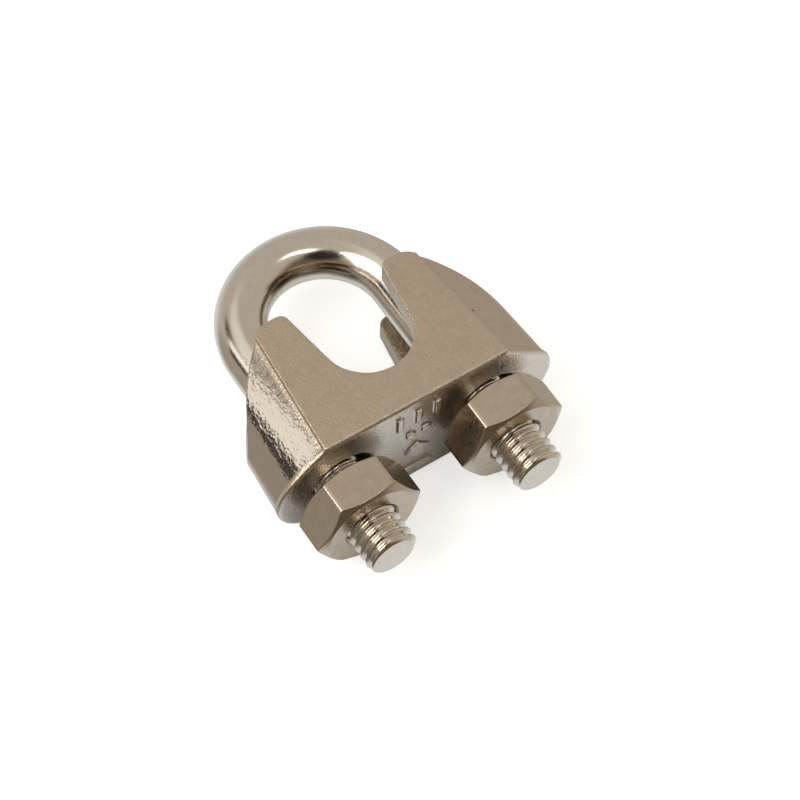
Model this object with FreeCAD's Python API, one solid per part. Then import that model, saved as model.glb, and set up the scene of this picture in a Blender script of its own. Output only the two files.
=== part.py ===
import FreeCAD, Part
import math
import os

# Wire rope clip for 8 mm rope: a U-bolt, a cast saddle and two hexagon nuts.
# Working frame, in mm: X runs across the two legs, Y along the legs with the bow at +Y,
# Z along the clamped rope. The working origin is on the saddle's base face, midway between
# the legs; the finished solids are moved so that the origin is under the middle of the part.

Vec = FreeCAD.Vector

# U-bolt
LEG_SPACING = 18.0        # centre to centre
U_BOLT_OFFSET_X = -0.5    # the loose U-bolt lies to one side in the saddle's bores
BAR_RADIUS = 2.9
BOW_CENTRE_Y = 17.1
STUD_END_Y = -10.4
STUD_END_BEVEL = 0.35
THREAD_TOP_Y = 7.0

# Right-hand thread on both legs
PITCH = 1.0
ROOT_RADIUS = 2.3
CREST_WIDTH = 0.14
ROOT_WIDTH = 0.2
THREAD_PLAY = 0.08        # axial play on each flank between nut and stud

# Hexagon nuts
NUT_FLATS = 11.0          # across flats
NUT_HEIGHT = 4.7
NUT_CHAMFER_RATIO = 0.95  # chamfer circle over flats
NUT_CHAMFER_ANGLE = 30.0
NUT_BORE_RADIUS = 2.47
NUT_THREAD_RADIUS = 3.02
NUT_COUNTERSINK_RADIUS = 3.25
NUTS = {
    "hex_nut_left": {"side": -1, "gap": 1.5, "turn": -2.7},
    "hex_nut_right": {"side": 1, "gap": 1.1, "turn": -5.2},
}

# Saddle, outside
HALF_THICKNESS = 7.6      # at the base face
THICKNESS_DRAFT = 0.041   # taken off each cheek per mm of height
FACE_HALF_WIDTH = 11.25   # flat cheek face, at the base
FACE_DRAFT = 0.083
FACE_STEP = 0.22          # the flat face stands this far above the rounded end
END_CENTRE_X = 11.5       # centre of the rounded end, at the base
END_RADIUS = 5.56
END_DRAFT = 0.072
BLANK_HEIGHT = 19.0
BASE_EDGE_RADIUS = 0.45

# Saddle, horns and rope seat
HORN_TOP_Y = 16.7
SHOULDER_TOP = (9.8, 15.85)        # three points on the bulging shoulder
SHOULDER_MIDDLE = (13.91, 11.3)
SHOULDER_END = (17.0, 6.0)
HORN_SLOPE = -0.95                 # from the shoulder up to the horn's top
HORN_OUTER_RADIUS = 2.0
HORN_INNER_RADIUS = 0.95
SEAT_RADIUS = 5.0
SEAT_CENTRE_Y = 10.07
SEAT_FLARE = 7.9          # degrees that each side of the seat leans outwards

# Saddle, inside
POCKET_HALF_WIDTH = 4.4   # between the two cheeks
POCKET_HALF_LENGTH = 12.9
POCKET_FLOOR_Y = 4.0
POCKET_FLOOR_RADIUS = 1.2
LEG_BORE_RADIUS = 3.45
LEG_BORE_COUNTERSINK = 0.4

# Plain raised casting marks on the base face, as (x, z, size in x, size in z)
MARK_HEIGHT = 0.3
MARK_OVERLAP = 0.2
MARK_BARS = [
    (-2.3, 4.7, 0.7, 2.2),
    (0.0, 4.7, 0.7, 2.2),
    (2.3, 4.7, 0.7, 2.2),
    (0.0, -5.4, 3.6, 0.7),
]
MARK_PIP_RADIUS = 0.55
MARK_PIPS = [(-0.95, 1.6), (0.95, 1.6)]
MARK_LOZENGE = (0.0, -2.0, 1.5)   # x, z and half the diagonal


def polar(centre_x, centre_y, radius, degrees):
    angle = math.radians(degrees)
    return (centre_x + radius * math.cos(angle), centre_y + radius * math.sin(angle))


def bore_x(side):
    return side * LEG_SPACING / 2


def leg_x(side):
    return bore_x(side) + U_BOLT_OFFSET_X


def cylinder_along_y(radius, y_low, y_high, x, z=0.0):
    return Part.makeCylinder(radius, y_high - y_low, Vec(x, y_low, z), Vec(0, 1, 0))


def cone_along_y(radius_low, radius_high, y_low, y_high, x):
    return Part.makeCone(radius_low, radius_high, y_high - y_low, Vec(x, y_low, 0), Vec(0, 1, 0))


def thread_ridge_width(radius):
    """Axial width of the stud's thread ridge at a radius."""
    flank = (PITCH - ROOT_WIDTH - CREST_WIDTH) / (BAR_RADIUS - ROOT_RADIUS)
    return CREST_WIDTH + (BAR_RADIUS - radius) * flank


def helical_bar(x, y_low, y_high, inner, outer):
    """Solid swept along the right-hand helix of one leg.

    inner and outer are (radius, axial width) of the section's two parallel sides.
    The section's middle crosses the plane at angle zero where y equals y_low.
    """
    helix = Part.makeHelix(PITCH, y_high - y_low, inner[0])
    corners = [
        Vec(inner[0], 0, -inner[1] / 2),
        Vec(outer[0], 0, -outer[1] / 2),
        Vec(outer[0], 0, outer[1] / 2),
        Vec(inner[0], 0, inner[1] / 2),
    ]
    section = Part.makePolygon(corners + corners[:1])
    solid = Part.Wire(helix).makePipeShell([section], True, True)
    if solid.Volume < 0:
        solid.reverse()
    solid.rotate(Vec(0, 0, 0), Vec(1, 0, 0), -90)
    solid.translate(Vec(x, y_low, 0))
    return solid


def u_bolt():
    half = LEG_SPACING / 2
    bow_centre = Vec(U_BOLT_OFFSET_X, BOW_CENTRE_Y, 0)
    bow = Part.makeTorus(half, BAR_RADIUS, bow_centre, Vec(0, 0, 1), -180, 180, 180)
    shape = bow
    for side in (-1, 1):
        leg = cylinder_along_y(BAR_RADIUS, STUD_END_Y, BOW_CENTRE_Y, leg_x(side))
        shape = shape.fuse(leg)
    shape = shape.removeSplitter()
    outer_radius = BAR_RADIUS + 0.1
    groove_root = (ROOT_RADIUS, PITCH - thread_ridge_width(ROOT_RADIUS))
    groove_mouth = (outer_radius, PITCH - thread_ridge_width(outer_radius))
    for side in (-1, 1):
        y_start = STUD_END_Y - PITCH
        groove = helical_bar(leg_x(side), y_start, THREAD_TOP_Y, groove_root, groove_mouth)
        shape = shape.cut(groove)
        shape = shape.cut(end_bevel(side))
    return shape


def end_bevel(side):
    """Ring that leaves a small cone on the end of a stud."""
    reach = BAR_RADIUS + 1.0
    y_top = STUD_END_Y + STUD_END_BEVEL
    ring = cylinder_along_y(reach, STUD_END_Y - 0.5, y_top, leg_x(side))
    end_radius = BAR_RADIUS - STUD_END_BEVEL
    cone = cone_along_y(end_radius - 0.5, BAR_RADIUS, STUD_END_Y - 0.5, y_top, leg_x(side))
    return ring.cut(cone)


def hexagon_prism(flats, height):
    """Prism along +Z with its flats facing plus and minus Y."""
    corner_radius = flats / 2 / math.cos(math.radians(30))
    corners = [Vec(*polar(0, 0, corner_radius, 60 * k), 0) for k in range(6)]
    face = Part.Face(Part.makePolygon(corners + corners[:1]))
    return face.extrude(Vec(0, 0, height))


def nut_envelope():
    """Turned outline that chamfers both faces of a nut."""
    chamfer_radius = NUT_FLATS * NUT_CHAMFER_RATIO / 2
    reach = NUT_FLATS
    drop = (reach - chamfer_radius) * math.tan(math.radians(NUT_CHAMFER_ANGLE))
    outline = [
        Vec(0, 0, 0),
        Vec(chamfer_radius, 0, 0),
        Vec(reach, 0, drop),
        Vec(reach, 0, NUT_HEIGHT - drop),
        Vec(chamfer_radius, 0, NUT_HEIGHT),
        Vec(0, 0, NUT_HEIGHT),
    ]
    face = Part.Face(Part.makePolygon(outline + outline[:1]))
    return face.revolve(Vec(0, 0, 0), Vec(0, 0, 1), 360)


def hex_nut(side, gap, turn):
    """Nut standing off the base face by gap, with its flats turned about the leg."""
    body = hexagon_prism(NUT_FLATS, NUT_HEIGHT).common(nut_envelope())
    body.rotate(Vec(0, 0, 0), Vec(1, 0, 0), -90)
    body.rotate(Vec(0, 0, 0), Vec(0, 1, 0), turn)
    y_back = -gap
    y_front = y_back - NUT_HEIGHT
    x = leg_x(side)
    body.translate(Vec(x, y_front, 0))
    body = body.cut(nut_thread_groove(x, y_front, y_back))
    body = body.cut(cylinder_along_y(NUT_BORE_RADIUS, y_front - 1, y_back + 1, x))
    sink = NUT_COUNTERSINK_RADIUS - NUT_BORE_RADIUS
    front_sink = cone_along_y(NUT_COUNTERSINK_RADIUS, NUT_BORE_RADIUS, y_front, y_front + sink, x)
    back_sink = cone_along_y(NUT_BORE_RADIUS, NUT_COUNTERSINK_RADIUS, y_back - sink, y_back, x)
    return body.cut(front_sink).cut(back_sink)


def nut_thread_groove(x, y_front, y_back):
    """Groove in the nut that follows the stud's ridge, half a pitch from its groove."""
    inner_radius = NUT_BORE_RADIUS - 0.07
    mouth = (inner_radius, thread_ridge_width(inner_radius) + 2 * THREAD_PLAY)
    bottom = (NUT_THREAD_RADIUS, CREST_WIDTH + 0.05)
    first_ridge = STUD_END_Y - PITCH / 2
    whole_pitches = math.floor((y_front - first_ridge) / PITCH) - 1
    y_low = first_ridge + whole_pitches * PITCH
    return helical_bar(x, y_low, y_back + PITCH, mouth, bottom)


def tangent_point(corner_x, corner_z, centre_x, radius):
    """Where a line from the cheek's corner touches the rounded end's circle."""
    dx = corner_x - centre_x
    distance = math.hypot(dx, corner_z)
    angle = math.atan2(corner_z, dx) - math.acos(radius / distance)
    return (centre_x + radius * math.cos(angle), radius * math.sin(angle))


def body_section(y):
    """Outline of the body behind the flat faces, square to the legs, at a height."""
    edge_z = HALF_THICKNESS - THICKNESS_DRAFT * y - FACE_STEP
    edge_x = FACE_HALF_WIDTH - FACE_DRAFT * y
    centre_x = END_CENTRE_X - END_DRAFT * y
    touch_x, touch_z = tangent_point(edge_x, edge_z, centre_x, END_RADIUS)
    tip_x = centre_x + END_RADIUS
    edges = [
        Part.LineSegment(Vec(edge_x, y, edge_z), Vec(touch_x, y, touch_z)),
        Part.Arc(Vec(touch_x, y, touch_z), Vec(tip_x, y, 0), Vec(touch_x, y, -touch_z)),
        Part.LineSegment(Vec(touch_x, y, -touch_z), Vec(edge_x, y, -edge_z)),
        Part.LineSegment(Vec(edge_x, y, -edge_z), Vec(-edge_x, y, -edge_z)),
        Part.LineSegment(Vec(-edge_x, y, -edge_z), Vec(-touch_x, y, -touch_z)),
        Part.Arc(Vec(-touch_x, y, -touch_z), Vec(-tip_x, y, 0), Vec(-touch_x, y, touch_z)),
        Part.LineSegment(Vec(-touch_x, y, touch_z), Vec(-edge_x, y, edge_z)),
        Part.LineSegment(Vec(-edge_x, y, edge_z), Vec(edge_x, y, edge_z)),
    ]
    return Part.Wire([edge.toShape() for edge in edges])


def face_corners(y):
    """Corners of the block between the two flat cheek faces, at a height."""
    half_x = FACE_HALF_WIDTH - FACE_DRAFT * y
    half_z = HALF_THICKNESS - THICKNESS_DRAFT * y
    return [
        Vec(half_x, y, half_z),
        Vec(half_x, y, -half_z),
        Vec(-half_x, y, -half_z),
        Vec(-half_x, y, half_z),
    ]


def face_block():
    """Block between the two flat cheek faces, made of plane faces."""
    low = face_corners(0.0)
    high = face_corners(BLANK_HEIGHT)
    rings = [low[::-1], high]
    for i in range(4):
        rings.append([low[i - 1], low[i], high[i], high[i - 1]])
    faces = [Part.Face(Part.makePolygon(ring + ring[:1])) for ring in rings]
    return Part.makeSolid(Part.makeShell(faces))


def eased_base(blank):
    """The blank with the edges of its base face rounded."""
    base_edges = [e for e in blank.Edges if e.BoundBox.YMax < 0.001]
    return blank.makeFillet(BASE_EDGE_RADIUS, base_edges)


def saddle_blank():
    body = Part.makeLoft([body_section(0.0), body_section(BLANK_HEIGHT)], True, True)
    return eased_base(body).fuse(eased_base(face_block()))


def fillet_points(before, corner, after, radius):
    """Start, middle and end of the arc that rounds a corner of an outline."""
    to_before = (before - corner).normalize()
    to_after = (after - corner).normalize()
    half_angle = to_before.getAngle(to_after) / 2
    reach = radius / math.tan(half_angle)
    middle_line = (to_before + to_after).normalize()
    centre = corner + middle_line * (radius / math.sin(half_angle))
    start = corner + to_before * reach
    end = corner + to_after * reach
    middle = centre - middle_line * radius
    return start, middle, end


def horn_outline():
    """Outline of the saddle seen along the rope: base, shoulders, horns and rope seat."""
    flare = math.radians(SEAT_FLARE)
    seat_x = SEAT_RADIUS * math.cos(flare)
    seat_y = SEAT_CENTRE_Y - SEAT_RADIUS * math.sin(flare)
    reach = END_CENTRE_X + END_RADIUS + 1.0
    horn_outer = SHOULDER_TOP[0] + (HORN_TOP_Y - SHOULDER_TOP[1]) / HORN_SLOPE
    horn_inner = seat_x + (HORN_TOP_Y - seat_y) * math.tan(flare)
    z = -HALF_THICKNESS - 1.0
    base_corner = Vec(reach, -1.0, z)
    shoulder_top = Vec(*SHOULDER_TOP, z)
    shoulder_middle = Vec(*SHOULDER_MIDDLE, z)
    shoulder_end = Vec(*SHOULDER_END, z)
    outer = Vec(horn_outer, HORN_TOP_Y, z)
    inner = Vec(horn_inner, HORN_TOP_Y, z)
    seat_side = Vec(seat_x, seat_y, z)
    outer_arc = fillet_points(shoulder_top, outer, inner, HORN_OUTER_RADIUS)
    inner_arc = fillet_points(outer, inner, seat_side, HORN_INNER_RADIUS)
    right = [
        Part.LineSegment(base_corner, shoulder_end),
        Part.Arc(shoulder_end, shoulder_middle, shoulder_top),
        Part.LineSegment(shoulder_top, outer_arc[0]),
        Part.Arc(*outer_arc),
        Part.LineSegment(outer_arc[2], inner_arc[0]),
        Part.Arc(*inner_arc),
        Part.LineSegment(inner_arc[2], seat_side),
    ]
    edges = [item.toShape() for item in right]
    mirrored = [edge.mirror(Vec(0, 0, 0), Vec(1, 0, 0)) for edge in edges]
    seat_bottom = Vec(0, SEAT_CENTRE_Y - SEAT_RADIUS, z)
    seat = Part.Arc(seat_side, seat_bottom, Vec(-seat_x, seat_y, z)).toShape()
    base = Part.LineSegment(Vec(-reach, -1.0, z), base_corner).toShape()
    wire = Part.Wire(Part.__sortEdges__(edges + [seat] + mirrored + [base]))
    return Part.Face(wire)


def pocket():
    """Space between the two cheeks, open towards the bow."""
    straight = POCKET_HALF_LENGTH - POCKET_HALF_WIDTH
    depth = BLANK_HEIGHT + 1.0 - POCKET_FLOOR_Y
    corner = Vec(-straight, POCKET_FLOOR_Y, -POCKET_HALF_WIDTH)
    shape = Part.makeBox(2 * straight, depth, 2 * POCKET_HALF_WIDTH, corner)
    for side in (-1, 1):
        end = cylinder_along_y(POCKET_HALF_WIDTH, POCKET_FLOOR_Y, POCKET_FLOOR_Y + depth, side * straight)
        shape = shape.fuse(end)
    shape = shape.removeSplitter()
    floor_edges = [e for e in shape.Edges if e.BoundBox.YMax < POCKET_FLOOR_Y + 0.001]
    return shape.makeFillet(POCKET_FLOOR_RADIUS, floor_edges)


def leg_bore(side):
    """Bore for one leg, eased where it meets the base face."""
    x = bore_x(side)
    bore = cylinder_along_y(LEG_BORE_RADIUS, -1.0, POCKET_FLOOR_Y + 1.0, x)
    wide = LEG_BORE_RADIUS + LEG_BORE_COUNTERSINK
    return bore.fuse(cone_along_y(wide, LEG_BORE_RADIUS, 0.0, LEG_BORE_COUNTERSINK, x))


def casting_marks():
    """Plain bars, pips and a lozenge that stand out of the base face."""
    depth = MARK_HEIGHT + MARK_OVERLAP
    marks = []
    for x, z, size_x, size_z in MARK_BARS:
        corner = Vec(x - size_x / 2, -MARK_HEIGHT, z - size_z / 2)
        marks.append(Part.makeBox(size_x, depth, size_z, corner))
    for x, z in MARK_PIPS:
        marks.append(cylinder_along_y(MARK_PIP_RADIUS, -MARK_HEIGHT, MARK_OVERLAP, x, z))
    x, z, reach = MARK_LOZENGE
    corners = [(reach, 0), (0, reach), (-reach, 0), (0, -reach)]
    points = [Vec(x + dx, -MARK_HEIGHT, z + dz) for dx, dz in corners]
    lozenge = Part.Face(Part.makePolygon(points + points[:1])).extrude(Vec(0, depth, 0))
    return marks + [lozenge]


def saddle():
    prism = horn_outline().extrude(Vec(0, 0, 2 * HALF_THICKNESS + 2.0))
    shape = saddle_blank().common(prism)
    shape = shape.cut(pocket())
    for side in (-1, 1):
        shape = shape.cut(leg_bore(side))
    for mark in casting_marks():
        shape = shape.fuse(mark)
    return shape.removeSplitter()


def build():
    nodes = {"u_bolt": u_bolt(), "saddle": saddle()}
    for name, settings in NUTS.items():
        nodes[name] = hex_nut(settings["side"], settings["gap"], settings["turn"])
    bow_top_y = BOW_CENTRE_Y + LEG_SPACING / 2 + BAR_RADIUS
    to_part_frame = Vec(0, -(bow_top_y + STUD_END_Y) / 2, HALF_THICKNESS)
    os.makedirs("parts", exist_ok=True)
    for name, shape in nodes.items():
        shape.translate(to_part_frame)
        shape.exportStep("parts/" + name + ".step")
        print(name, "solids", len(shape.Solids), "valid", shape.isValid(), "mm3", round(shape.Volume, 1))


build()
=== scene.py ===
"""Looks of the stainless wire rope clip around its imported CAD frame. Lengths are in metres."""

import math

import bmesh
import bpy
import numpy as np
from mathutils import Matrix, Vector, noise


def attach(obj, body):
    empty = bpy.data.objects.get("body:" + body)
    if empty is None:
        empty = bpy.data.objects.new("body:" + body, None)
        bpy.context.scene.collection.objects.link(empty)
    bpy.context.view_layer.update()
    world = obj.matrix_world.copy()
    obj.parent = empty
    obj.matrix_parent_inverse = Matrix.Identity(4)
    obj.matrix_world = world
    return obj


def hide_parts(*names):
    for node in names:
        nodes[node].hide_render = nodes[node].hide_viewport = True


MM = 0.001

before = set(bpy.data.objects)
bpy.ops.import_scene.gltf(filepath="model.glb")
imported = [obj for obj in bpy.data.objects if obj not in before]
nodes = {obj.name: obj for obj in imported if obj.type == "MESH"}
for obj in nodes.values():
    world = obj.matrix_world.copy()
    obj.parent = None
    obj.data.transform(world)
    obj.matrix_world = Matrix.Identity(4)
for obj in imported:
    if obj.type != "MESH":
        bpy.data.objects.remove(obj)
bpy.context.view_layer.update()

# ---------------------------------------------------------------- dimensions, as in the CAD
AXIS_Z = 7.6 * MM            # plane of both legs
LEG_X = 9.0 * MM             # half the distance between the legs
BOLT_X = -0.5 * MM           # the loose U-bolt lies to one side of the saddle
BAR_RADIUS = 2.9 * MM
BOW_CENTRE_Y = 7.8 * MM
STUD_END_Y = -19.7 * MM
BASE_Y = -9.3 * MM
PITCH = 1.0 * MM
THREAD_ROOT = 2.3 * MM
THREAD_LENGTH = 17.4 * MM
RUNOUT = 1.6 * MM
END_BEVEL = 0.35 * MM
GROOVE_Y = -20.7 * MM        # a groove's middle on the +X side of each leg
NUT_FLATS = 11.0 * MM
NUT_HEIGHT = 4.7 * MM
NUT_CHAMFER = 5.225 * MM
NUT_BORE = 2.47 * MM
NUT_THREAD = 3.02 * MM
NUT_SINK = 3.25 * MM
FACE_HALF_WIDTH = 11.25 * MM
FACE_DRAFT = 0.083
END_CENTRE_X = 11.5 * MM
END_RADIUS = 5.56 * MM
FACE_DEPTH = 7.6 * MM        # half the saddle's thickness at its cheeks
TURN = 2 * math.pi

# ---------------------------------------------------------------- mesh detail
INSIDE = 0.01 * MM           # how far the visual pieces keep inside the CAD's surfaces
VOXEL = 0.1 * MM             # saddle remesh
TRIANGLE_LIMIT = 190000      # saddle, after its relief
BOLT_COLUMNS = 72
BOLT_ROWS_PER_PITCH = 12
CREST_ROUNDING = 0.16 * MM
ROOT_ROUNDING = 0.14 * MM
NUT_COLUMNS_PER_FLAT = 40
NUT_THREAD_ROWS = 72
NUT_CORNER_SHARPNESS = 64    # exponent of the rounded hexagon
NUT_CHAMFER_ANGLE = math.radians(30)
PEBBLE_SIZE = 0.42 * MM      # cast relief of the saddle's ends
UNDULATION_SIZE = 1.3 * MM   # slow waviness of the whole casting
RIDGE_FALL = 0.15 * MM       # how far each end drops away just past the ridge
END_FALL = 0.25 * MM         # and where it turns into the round end


# ---------------------------------------------------------------- mesh helpers
def smoothstep(low, high, value):
    t = np.clip((value - low) / (high - low), 0.0, 1.0)
    return t * t * (3.0 - 2.0 * t)


def soft_min(a, b, width):
    """Smaller of two lengths, with the corner between them rounded over width."""
    h = np.clip(0.5 + 0.5 * (b - a) / width, 0.0, 1.0)
    return b * (1.0 - h) + a * h - width * h * (1.0 - h)


def new_object(name, points, faces):
    mesh = bpy.data.meshes.new(name)
    mesh.from_pydata(points.tolist(), [], faces)
    piece = bpy.data.objects.new(name, mesh)
    bpy.context.collection.objects.link(piece)
    return piece


def finish_mesh(piece, sharp_degrees):
    """Outward normals, smooth shading and sharp edges where the surface really turns."""
    bm = bmesh.new()
    bm.from_mesh(piece.data)
    bmesh.ops.recalc_face_normals(bm, faces=bm.faces)
    limit = math.radians(sharp_degrees)
    for face in bm.faces:
        face.smooth = True
    for edge in bm.edges:
        if len(edge.link_faces) == 2 and edge.calc_face_angle() > limit:
            edge.smooth = False
    bm.to_mesh(piece.data)
    bm.free()


def apply_modifier(piece, kind, **settings):
    modifier = piece.modifiers.new(kind.lower(), kind)
    for key, value in settings.items():
        setattr(modifier, key, value)
    depsgraph = bpy.context.evaluated_depsgraph_get()
    mesh = bpy.data.meshes.new_from_object(piece.evaluated_get(depsgraph))
    piece.modifiers.remove(modifier)
    old = piece.data
    piece.data = mesh
    bpy.data.meshes.remove(old)


# ---------------------------------------------------------------- U-bolt
def thread_radius(phase):
    """Stud radius over one pitch; phase 0 is the groove's middle and 0.5 the crest."""
    across = np.abs((phase + 0.5) % 1.0 - 0.5)
    flank = THREAD_ROOT + (across - 0.085) / 0.33 * (BAR_RADIUS - THREAD_ROOT)
    rounded = soft_min(flank, np.full_like(flank, BAR_RADIUS - INSIDE), CREST_ROUNDING)
    return -soft_min(-rounded, np.full_like(flank, -THREAD_ROOT - INSIDE), ROOT_ROUNDING)


def bolt_path(s):
    """Point, and the two directions square to the bar, at each distance along the bar."""
    straight = BOW_CENTRE_Y - STUD_END_Y
    bow = math.pi * LEG_X
    turned = np.clip((s - straight) / LEG_X, 0.0, math.pi)
    rise = np.where(s < straight, s - straight, 0.0)
    fall = np.where(s > straight + bow, s - straight - bow, 0.0)
    x = BOLT_X - LEG_X * np.cos(turned)
    y = BOW_CENTRE_Y + LEG_X * np.sin(turned) + rise - fall
    centre = np.stack([x, y, np.full_like(x, AXIS_Z)], -1)
    side = np.stack([np.cos(turned), -np.sin(turned), np.zeros_like(x)], -1)
    return centre, side


def make_u_bolt():
    """A tube whose rows climb with the thread, cut square and capped at the stud ends."""
    columns = BOLT_COLUMNS
    rows_per_pitch = BOLT_ROWS_PER_PITCH
    length = 2 * (BOW_CENTRE_Y - STUD_END_Y) + math.pi * LEG_X
    right_shift = (length + 0.5 * PITCH) % PITCH
    row_count = int((length / PITCH + 3) * rows_per_pitch)
    row = np.arange(row_count)[:, None]
    column = np.arange(columns)[None, :]
    turn = column / columns
    index = (row + rows_per_pitch * turn) / rows_per_pitch - 2.0
    blend = smoothstep(THREAD_LENGTH + 4 * MM, length - THREAD_LENGTH - 4 * MM, index * PITCH)
    s = index * PITCH + right_shift * blend
    shape = s.shape
    near_end = np.minimum(s, length - s)
    phase = (row / rows_per_pitch) % 1.0 + 0.0 * turn
    threaded = thread_radius(phase)
    fade = smoothstep(THREAD_LENGTH - RUNOUT, THREAD_LENGTH, near_end)
    radius = threaded + (BAR_RADIUS - INSIDE - threaded) * fade
    bevel = BAR_RADIUS - END_BEVEL + near_end
    radius = soft_min(radius, np.maximum(bevel, 0.3 * BAR_RADIUS), 0.12 * MM)
    centre, side = bolt_path(s.ravel())
    angle = (TURN * turn + 0.0 * s).ravel()
    down = np.array([0.0, 0.0, -1.0])
    spoke = np.cos(angle)[:, None] * side + np.sin(angle)[:, None] * down
    points = centre + radius.ravel()[:, None] * spoke
    faces = []
    for i in range(shape[0] - 1):
        for j in range(columns - 1):
            a = i * columns + j
            faces.append((a, a + 1, a + columns + 1, a + columns))
        if i + rows_per_pitch < shape[0] - 1:
            last = i * columns + columns - 1
            first = (i + rows_per_pitch) * columns
            faces.append((last, first, first + columns, last + columns))
    piece = new_object("u_bolt_visual", points, faces)
    bm = bmesh.new()
    bm.from_mesh(piece.data)
    keep_above = STUD_END_Y + 0.005 * MM
    everything = bm.verts[:] + bm.edges[:] + bm.faces[:]
    bmesh.ops.bisect_plane(bm, geom=everything, dist=1e-7, plane_co=(0, keep_above, 0),
                           plane_no=(0, -1, 0), clear_outer=True)
    rims = [edge for edge in bm.edges if edge.is_boundary]
    caps = bmesh.ops.holes_fill(bm, edges=rims, sides=0)["faces"]
    bmesh.ops.inset_region(bm, faces=caps, thickness=0.12 * MM, depth=0.0)
    bmesh.ops.triangulate(bm, faces=[f for f in caps if f.is_valid])
    bm.to_mesh(piece.data)
    bm.free()
    finish_mesh(piece, 38)
    return piece


# ---------------------------------------------------------------- nuts
def make_nut(name, side, back_y, turn_degrees):
    """One closed skin of rings: out along the hexagon, over the front, back through the thread."""
    t = np.arange(NUT_COLUMNS_PER_FLAT) / NUT_COLUMNS_PER_FLAT
    eased = t - 0.86 * np.sin(TURN * t) / TURN
    angle = np.concatenate([(k + eased) * TURN / 6 for k in range(6)])
    half = NUT_FLATS / 2
    spread = np.zeros_like(angle)
    for k in range(6):
        facing = np.clip(np.cos(angle - (k + 0.5) * TURN / 6), 0.0, None)
        spread += facing ** NUT_CORNER_SHARPNESS
    hexagon = half * spread ** (-1 / NUT_CORNER_SHARPNESS)
    near = np.array([0.0, .02, .05, .08, .11, .14, .18, .22, .27, .32, .37, .42, .47, .52, .57,
                     .62, .68, .76, .9]) * MM
    middle = np.linspace(1.15 * MM, NUT_HEIGHT - 1.15 * MM, 10)
    heights = np.concatenate([near, middle, NUT_HEIGHT - near[::-1]])
    rings = []
    for h in heights:
        face_gap = min(h, NUT_HEIGHT - h)
        chamfer = NUT_CHAMFER + face_gap / math.tan(NUT_CHAMFER_ANGLE) - 2 * INSIDE
        rings.append((h, soft_min(hexagon, np.full_like(angle, chamfer), 0.07 * MM)))
    fractions = np.array([0.012, 0.05, 0.2, 0.4, 0.6, 0.8, 0.93, 0.985])
    top = rings[-1][1]
    for f in fractions:
        rings.append((NUT_HEIGHT, top + (NUT_SINK - top) * f))
    front_y = back_y - NUT_HEIGHT
    theta = angle + math.radians(turn_degrees)
    for h in np.linspace(NUT_HEIGHT, 0.0, NUT_THREAD_ROWS):
        y = front_y + h
        phase = ((y - GROOVE_Y) / PITCH - theta / TURN) % 1.0
        off_ridge = np.abs(phase - 0.5) * PITCH
        groove = NUT_THREAD - np.clip(off_ridge - 0.095 * MM, 0.0, None) / 0.532
        thread = np.clip(groove, NUT_BORE, NUT_THREAD)
        cone = NUT_SINK - min(h, NUT_HEIGHT - h)
        rings.append((h, np.maximum(thread, cone)))
    bottom = rings[0][1]
    for f in fractions[::-1]:
        rings.append((0.0, bottom + (NUT_SINK - bottom) * f))
    count = len(angle)
    points = []
    for h, radius in rings:
        points.append(np.stack([
            BOLT_X + side * LEG_X + radius * np.cos(theta),
            np.full(count, front_y + h),
            AXIS_Z - radius * np.sin(theta),
        ], -1))
    faces = []
    total = len(rings)
    for i in range(total):
        n = (i + 1) % total
        for j in range(count):
            k = (j + 1) % count
            faces.append((i * count + j, i * count + k, n * count + k, n * count + j))
    piece = new_object(name, np.concatenate(points), faces)
    finish_mesh(piece, 50)
    return piece


# ---------------------------------------------------------------- saddle
def fractal(points, size, octaves, seed):
    """Cast-skin height at each point, about -1 to 1."""
    shift = Vector((seed, seed * 1.7, seed * 2.3))
    return np.array([noise.fractal(Vector(p) / size + shift, 1.0, 2.0, octaves) for p in points])


def vertex_data(mesh):
    count = len(mesh.vertices)
    co = np.empty(count * 3)
    mesh.vertices.foreach_get("co", co)
    normal = np.empty(count * 3)
    mesh.vertex_normals.foreach_get("vector", normal)
    return co.reshape(-1, 3), normal.reshape(-1, 3)


def cast_zones(co, normal):
    """How far each point lies past the ridge, and how much it belongs to each zone."""
    height = co[:, 1] - BASE_Y
    beyond = np.abs(co[:, 0]) - (FACE_HALF_WIDTH - FACE_DRAFT * height)
    level = np.abs(co[:, 2] - AXIS_Z)
    end = smoothstep(0.2 * MM, 0.6 * MM, beyond) * smoothstep(0.2, 0.5, np.abs(normal[:, 0]))
    end *= smoothstep(0.4 * MM, 1.0 * MM, height)
    pocket = smoothstep(4.6 * MM, 4.5 * MM, level) * smoothstep(1.5 * MM, 2.5 * MM, height)
    pocket *= smoothstep(0.8 * MM, 0.3 * MM, beyond)
    return height, beyond, end, pocket


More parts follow.
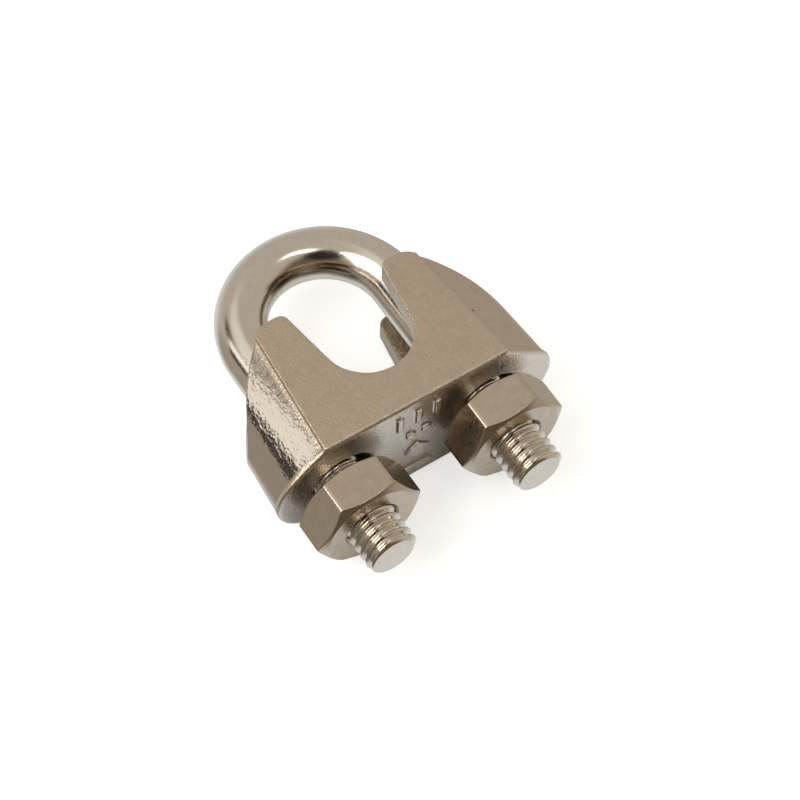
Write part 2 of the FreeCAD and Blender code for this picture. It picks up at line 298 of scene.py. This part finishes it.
def crown(co, height):
    """How far the flat part of each end bulges short of its CAD face, as a worn casting does."""
    middle = END_CENTRE_X - FACE_DRAFT * height
    out = np.abs(co[:, 0]) - middle
    up = np.abs(co[:, 2] - AXIS_Z)
    facet_angle = math.acos(END_RADIUS / math.hypot(END_CENTRE_X - FACE_HALF_WIDTH, FACE_DEPTH))
    facet_angle += math.atan2(FACE_HALF_WIDTH - END_CENTRE_X, FACE_DEPTH)
    facet_length = math.sqrt((END_CENTRE_X - FACE_HALF_WIDTH) ** 2 + FACE_DEPTH ** 2 - END_RADIUS ** 2)
    angle = np.arctan2(out, up)
    along = facet_length - END_RADIUS * np.tan(np.clip(facet_angle - angle, 0.0, 1.2))
    along += END_RADIUS * np.clip(angle - facet_angle, 0.0, None)
    near_ridge = RIDGE_FALL * np.clip(1.0 - along / (2.6 * MM), 0.0, 1.0) ** 2
    dip = np.clip((along - facet_length - 2.0 * MM) / (4.0 * MM), -1.0, 1.0)
    return near_ridge + END_FALL * np.cos(dip * math.pi / 2) ** 2


def make_saddle():
    """The CAD solid remeshed, its edges eased, its ends crowned and its skin roughened."""
    piece = bpy.data.objects.new("saddle_cast", nodes["saddle"].data.copy())
    bpy.context.collection.objects.link(piece)
    bm = bmesh.new()
    bm.from_mesh(piece.data)
    bmesh.ops.remove_doubles(bm, verts=bm.verts[:], dist=1e-6)
    bm.to_mesh(piece.data)
    bm.free()
    apply_modifier(piece, "REMESH", mode="VOXEL", voxel_size=VOXEL, adaptivity=0.0)
    apply_modifier(piece, "SMOOTH", factor=0.5, iterations=5)
    co, normal = vertex_data(piece.data)
    height, beyond, end, pocket = cast_zones(co, normal)
    left = smoothstep(1.0 * MM, -1.0 * MM, co[:, 0])
    relief = np.zeros(len(co))
    busy = np.nonzero(end + pocket > 0.01)[0]
    relief[busy] = fractal(co[busy], PEBBLE_SIZE, 2, 3.1)
    busy_end = end * smoothstep(0.3, 0.62, np.abs(normal[:, 2]))
    depth = busy_end * (0.004 + 0.004 * left) * MM + pocket * 0.04 * MM
    skin = fractal(co, UNDULATION_SIZE, 2, 8.4)
    push = depth * (relief - 0.8) + 0.006 * MM * (skin - 1.0)
    past_edge = smoothstep(0.0, 0.3 * MM, beyond) * smoothstep(0.1 * MM, 0.8 * MM, height)
    push -= crown(co, height) * past_edge
    groove = smoothstep(0.0, 0.07 * MM, beyond) * smoothstep(0.3 * MM, 0.14 * MM, beyond)
    groove *= smoothstep(0.3, 0.5, np.abs(normal[:, 2])) * smoothstep(0.4 * MM, 0.8 * MM, height)
    push -= (0.04 + 0.04 * left) * MM * groove
    co = co + normal * push[:, None]
    piece.data.vertices.foreach_set("co", co.ravel())
    piece.data.update()
    triangles = 2 * len(piece.data.polygons)
    if triangles > TRIANGLE_LIMIT:
        apply_modifier(piece, "DECIMATE", ratio=TRIANGLE_LIMIT / triangles, use_collapse_triangulate=True)
    finish_mesh(piece, 60)
    co, normal = vertex_data(piece.data)
    height, beyond, end, pocket = cast_zones(co, normal)
    left = smoothstep(1.0 * MM, -1.0 * MM, co[:, 0])
    base = smoothstep(0.5, 0.85, -normal[:, 1]) * smoothstep(2.0 * MM, 1.0 * MM, height)
    end *= 0.2 + 0.8 * left
    # the pocket's attribute carries painted shade: it darkens the colour of the notch's inner faces
    for name, values in (("end_skin", end), ("pocket_shade", pocket), ("base_skin", base)):
        layer = piece.data.attributes.new(name, "FLOAT", "POINT")
        layer.data.foreach_set("value", values.astype(np.float32))
    return piece


# ---------------------------------------------------------------- materials
def node_of(tree, kind, **settings):
    node = tree.nodes.new(kind)
    for key, value in settings.items():
        setattr(node, key, value)
    return node


def new_material(name):
    material = bpy.data.materials.new(name)
    material.use_nodes = True
    tree = material.node_tree
    shader = tree.nodes["Principled BSDF"]
    return material, tree, shader


def noise_node(tree, scale, detail, rough=0.5):
    node = node_of(tree, "ShaderNodeTexNoise")
    node.inputs["Scale"].default_value = scale
    node.inputs["Detail"].default_value = detail
    node.inputs["Roughness"].default_value = rough
    coords = tree.nodes.get("coords") or node_of(tree, "ShaderNodeTexCoord", name="coords")
    tree.links.new(coords.outputs["Object"], node.inputs["Vector"])
    return node


def ramp(tree, source, stops):
    node = node_of(tree, "ShaderNodeValToRGB")
    elements = node.color_ramp.elements
    while len(elements) < len(stops):
        elements.new(0.5)
    for element, (position, value) in zip(elements, stops):
        element.position = position
        element.color = value if len(value) == 4 else (*value, 1.0)
    tree.links.new(source, node.inputs["Fac"])
    return node.outputs["Color"]


def grey(value):
    return (value, value, value, 1.0)


def bump(tree, source, strength, distance, under=None):
    node = node_of(tree, "ShaderNodeBump")
    node.inputs["Strength"].default_value = strength
    node.inputs["Distance"].default_value = distance
    tree.links.new(source, node.inputs["Height"])
    if under:
        tree.links.new(under, node.inputs["Normal"])
    return node.outputs["Normal"]


def steel(name, light, dark, roughness, grain, grain_height, colour_size=900.0):
    """Stainless steel: mottled colour and gloss with a fine grain in its bump."""
    material, tree, shader = new_material(name)
    shader.inputs["Metallic"].default_value = 1.0
    patches = noise_node(tree, colour_size, 3.0, 0.6)
    colour = ramp(tree, patches.outputs["Fac"], [(0.36, dark), (0.64, light)])
    tree.links.new(colour, shader.inputs["Base Color"])
    gloss = noise_node(tree, colour_size * 2.3, 2.0)
    low, high = roughness
    rough = ramp(tree, gloss.outputs["Fac"], [(0.35, grey(low)), (0.65, grey(high))])
    tree.links.new(rough, shader.inputs["Roughness"])
    fine = noise_node(tree, grain, 2.0, 0.6)
    normal = bump(tree, fine.outputs["Fac"], 0.5, grain_height)
    tree.links.new(normal, shader.inputs["Normal"])
    return material, colour, rough, normal


def attribute(tree, name):
    node = node_of(tree, "ShaderNodeAttribute", attribute_name=name)
    return node.outputs["Fac"]


def blend_to(tree, factor, below, colour):
    """Mix towards one colour where the factor is high."""
    mix = node_of(tree, "ShaderNodeMix", data_type="RGBA")
    tree.links.new(factor, mix.inputs["Factor"])
    tree.links.new(below, mix.inputs["A"])
    mix.inputs["B"].default_value = colour if len(colour) == 4 else (*colour, 1.0)
    return mix.outputs["Result"]


def spot(tree, place, inner, outer):
    """One round spot on the surface, 1 within inner and 0 beyond outer."""
    reach = node_of(tree, "ShaderNodeVectorMath", operation="DISTANCE")
    tree.links.new(tree.nodes["coords"].outputs["Object"], reach.inputs[0])
    reach.inputs[1].default_value = place
    fade = node_of(tree, "ShaderNodeMapRange", interpolation_type="SMOOTHSTEP")
    fade.inputs["From Min"].default_value = outer
    fade.inputs["From Max"].default_value = inner
    tree.links.new(reach.outputs["Value"], fade.inputs["Value"])
    return fade.outputs["Result"]


def cast_material():
    """Satin cheeks with small pits, glossier rough-cast ends and painted shade darkening the pocket."""
    material, colour, rough, normal = steel(
        "cast_stainless", (0.685, 0.575, 0.455), (0.63, 0.53, 0.415), (0.32, 0.4), 3600.0, 0.13 * MM)
    tree = material.node_tree
    shader = tree.nodes["Principled BSDF"]
    grain_strength = ramp(tree, attribute(tree, "end_skin"), [(0.0, grey(0.5)), (1.0, grey(0.07))])
    tree.links.new(grain_strength, normal.node.inputs["Strength"])
    pebbles = node_of(tree, "ShaderNodeTexVoronoi", feature="SMOOTH_F1")
    pebbles.inputs["Scale"].default_value = 3000.0
    pebbles.inputs["Smoothness"].default_value = 0.7
    tree.links.new(tree.nodes["coords"].outputs["Object"], pebbles.inputs["Vector"])
    normal = bump(tree, pebbles.outputs["Distance"], 0.5, 0.05 * MM, normal)
    pebble_strength = ramp(tree, attribute(tree, "end_skin"), [(0.0, grey(0.0)), (1.0, grey(0.3))])
    tree.links.new(pebble_strength, normal.node.inputs["Strength"])
    pits = node_of(tree, "ShaderNodeTexVoronoi", feature="F1")
    pits.inputs["Scale"].default_value = 520.0
    tree.links.new(tree.nodes["coords"].outputs["Object"], pits.inputs["Vector"])
    near = ramp(tree, pits.outputs["Distance"], [(0.03, grey(1.0)), (0.075, grey(0.0))])
    chosen = ramp(tree, pits.outputs["Color"], [(0.78, grey(0.0)), (0.8, grey(1.0))])
    pit = node_of(tree, "ShaderNodeMath", operation="MULTIPLY")
    tree.links.new(near, pit.inputs[0])
    tree.links.new(chosen, pit.inputs[1])
    colour = blend_to(tree, pit.outputs["Value"], colour, (0.16, 0.13, 0.10))
    # painted shade: the pocket's inner faces are darkened in colour as the notch lies in shade
    colour = blend_to(tree, attribute(tree, "pocket_shade"), colour, (0.42, 0.35, 0.27))
    colour = blend_to(tree, attribute(tree, "end_skin"), colour, (0.69, 0.61, 0.52))
    colour = blend_to(tree, attribute(tree, "base_skin"), colour, (0.82, 0.76, 0.68))
    rust = spot(tree, RUST_SPOT, 0.14 * MM, 0.32 * MM)
    colour = blend_to(tree, rust, colour, (0.42, 0.13, 0.045))
    tree.links.new(colour, shader.inputs["Base Color"])
    rough = blend_to(tree, attribute(tree, "end_skin"), rough, grey(0.14))
    rough = blend_to(tree, attribute(tree, "base_skin"), rough, grey(0.17))
    rough = blend_to(tree, rust, rough, grey(0.8))
    tree.links.new(rough, shader.inputs["Roughness"])
    hollow = node_of(tree, "ShaderNodeMath", operation="MULTIPLY")
    hollow.inputs[1].default_value = -1.0
    tree.links.new(pit.outputs["Value"], hollow.inputs[0])
    tree.links.new(bump(tree, hollow.outputs["Value"], 0.6, 0.06 * MM, normal), shader.inputs["Normal"])
    return material


def paint(piece, material):
    piece.data.materials.clear()
    piece.data.materials.append(material)


# ---------------------------------------------------------------- the pieces
RUST_SPOT = (0.0111, -0.0027, 0.0145)
cast_steel = cast_material()
bar_steel = steel("polished_bar", (0.82, 0.76, 0.68), (0.78, 0.72, 0.64), (0.14, 0.2),
                  5000.0, 0.005 * MM, 1400.0)[0]
nut_steel = steel("nut_steel", (0.66, 0.565, 0.46), (0.60, 0.51, 0.41), (0.2, 0.28), 5200.0, 0.006 * MM)[0]

u_bolt = make_u_bolt()
paint(u_bolt, bar_steel)
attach(u_bolt, "u_bolt")
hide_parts("u_bolt")

saddle = make_saddle()
paint(saddle, cast_steel)
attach(saddle, "saddle")
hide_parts("saddle")

for side, gap, turn, word in ((-1, 1.5 * MM, -2.7, "left"), (1, 1.1 * MM, -5.2, "right")):
    nut = make_nut("nut_" + word + "_visual", side, BASE_Y - gap, turn)
    paint(nut, nut_steel)
    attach(nut, "nut_" + word)
    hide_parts("hex_nut_" + word)


# ---------------------------------------------------------------- floor
def make_floor():
    """Pale table. What the steel mirrors of it is in the room's patches instead."""
    size = 2.0
    points = np.array([(-size, -size, 0), (size, -size, 0), (size, size, 0), (-size, size, 0)])
    floor = new_object("floor", points, [(0, 1, 2, 3)])
    material, tree, shader = new_material("pale_floor")
    shader.inputs["Roughness"].default_value = 0.8
    speck = noise_node(tree, 40.0, 2.0)
    tree.links.new(ramp(tree, speck.outputs["Fac"], [(0.3, grey(0.86)), (0.7, grey(0.90))]),
                   shader.inputs["Base Color"])
    shader.inputs["Emission Color"].default_value = (1.0, 1.0, 1.0, 1.0)
    shader.inputs["Emission Strength"].default_value = FLOOR_GLOW
    paint(floor, material)
    floor.visible_glossy = False


def make_floor_shade():
    """The dark under the clip that its own steel mirrors; only glossy rays meet this plane."""
    size = 0.2
    lift = 0.004 * MM
    points = np.array([(-size, -size, lift), (size, -size, lift), (size, size, lift), (-size, size, lift)])
    plane = new_object("floor_shade", points, [(0, 1, 2, 3)])
    material, tree, shader = new_material("floor_shade")
    tree.nodes.remove(shader)
    openness = node_of(tree, "ShaderNodeAmbientOcclusion", samples=6)
    openness.inputs["Distance"].default_value = 8 * MM
    clear = node_of(tree, "ShaderNodeBsdfTransparent")
    tree.links.new(ramp(tree, openness.outputs["AO"], [(0.3, (0.04, 0.028, 0.016)), (0.75, grey(1.0))]),
                   clear.inputs["Color"])
    tree.links.new(clear.outputs["BSDF"], tree.nodes["Material Output"].inputs["Surface"])
    paint(plane, material)
    plane.visible_camera = False
    plane.visible_diffuse = False
    plane.visible_shadow = False
    plane.visible_transmission = False


FLOOR_GLOW = 0.62
make_floor()
make_floor_shade()


# ---------------------------------------------------------------- light
def direction(azimuth, elevation):
    """Unit vector; azimuth 0 is +X and 90 is +Y."""
    a, e = math.radians(azimuth), math.radians(elevation)
    return Vector((math.cos(a) * math.cos(e), math.sin(a) * math.cos(e), math.sin(e)))


def soft_box(name, azimuth, elevation, width_degrees, height_degrees, radiance, colour):
    """Rectangular light that fills this much of the view from the clip."""
    distance = 0.7
    data = bpy.data.lights.new(name, "AREA")
    data.shape = "RECTANGLE"
    data.size = 2 * distance * math.tan(math.radians(width_degrees / 2))
    data.size_y = 2 * distance * math.tan(math.radians(height_degrees / 2))
    data.energy = radiance * math.pi * data.size * data.size_y
    data.color = colour
    light = bpy.data.objects.new(name, data)
    bpy.context.collection.objects.link(light)
    way = direction(azimuth, elevation)
    light.location = way * distance
    light.rotation_euler = way.to_track_quat("Z", "Y").to_euler()


def make_room():
    """Taupe room, with soft patches for the darker and paler things around the table."""
    world = bpy.data.worlds.new("studio")
    bpy.context.scene.world = world
    world.use_nodes = True
    tree = world.node_tree
    coords = node_of(tree, "ShaderNodeTexCoord")
    colour = node_of(tree, "ShaderNodeRGB")
    colour.outputs[0].default_value = (*ROOM_COLOUR, 1.0)
    below = colour.outputs[0]
    for azimuth, elevation, inner, outer, patch_colour in ROOM_PATCHES:
        dot = node_of(tree, "ShaderNodeVectorMath", operation="DOT_PRODUCT")
        dot.inputs[1].default_value = direction(azimuth, elevation)
        tree.links.new(coords.outputs["Generated"], dot.inputs[0])
        fade = node_of(tree, "ShaderNodeMapRange", interpolation_type="SMOOTHSTEP")
        fade.inputs["From Min"].default_value = math.cos(math.radians(outer))
        fade.inputs["From Max"].default_value = math.cos(math.radians(inner))
        tree.links.new(dot.outputs["Value"], fade.inputs["Value"])
        mix = node_of(tree, "ShaderNodeMix", data_type="RGBA")
        tree.links.new(fade.outputs["Result"], mix.inputs["Factor"])
        tree.links.new(below, mix.inputs["A"])
        mix.inputs["B"].default_value = (*patch_colour, 1.0)
        below = mix.outputs["Result"]
    tree.links.new(below, tree.nodes["Background"].inputs["Color"])


ROOM_COLOUR = (0.50, 0.455, 0.40)
ROOM_PATCHES = [             # azimuth, elevation, full within, gone beyond, colour
    (115, 58, 8, 26, (0.80, 0.76, 0.70)),
    (90, -70, 16, 84, (0.78, 0.80, 0.82)),
    (255, 2, 36, 60, (0.14, 0.11, 0.075)),
    (240, 47, 15, 25, (0.012, 0.01, 0.008)),
    (205, -26, 8, 44, (0.16, 0.15, 0.13)),
    (128, 26, 5, 13, (0.10, 0.09, 0.075)),
    (152, -20, 18, 36, (0.38, 0.345, 0.305)),
    (32, -24, 12, 32, (0.46, 0.42, 0.37)),
    (143, 25, 5, 11, (1.15, 1.13, 1.10)),
    (149, 13.5, 6.5, 8.5, (0.02, 0.018, 0.014)),
]
make_room()
soft_box("key_left", 174, 46, 36, 40, 3.0, (1.0, 0.975, 0.94))
soft_box("top_strip", 292, 71, 24, 9, 2.2, (1.0, 1.0, 1.0))
bpy.context.scene.view_settings.view_transform = "Standard"

# ---------------------------------------------------------------- camera
CAMERA_AZIMUTH = 35.37       # degrees that the view is turned from straight along the legs
CAMERA_ELEVATION = 59.05
CAMERA_ROLL = 2.71
CAMERA_DISTANCE = 0.289
CAMERA_TARGET = Vector((0.001, -0.0045, 0.0076))
SENSOR = 36.0

a, e = math.radians(CAMERA_AZIMUTH), math.radians(CAMERA_ELEVATION)
forward = Vector((math.sin(a) * math.cos(e), math.cos(a) * math.cos(e), -math.sin(e)))
camera_data = bpy.data.cameras.new("camera")
camera_data.sensor_width = SENSOR
camera_data.lens = 124.0
camera_data.clip_start = 0.01
camera = bpy.data.objects.new("camera", camera_data)
bpy.context.collection.objects.link(camera)
camera.location = CAMERA_TARGET - forward * CAMERA_DISTANCE
turned = forward.to_track_quat("-Z", "Y").to_matrix()
roll = math.radians(CAMERA_ROLL)
right, up = turned.col[0].copy(), turned.col[1].copy()
turned.col[0] = right * math.cos(roll) + up * math.sin(roll)
turned.col[1] = up * math.cos(roll) - right * math.sin(roll)
camera.rotation_euler = turned.to_euler()
bpy.context.scene.camera = camera
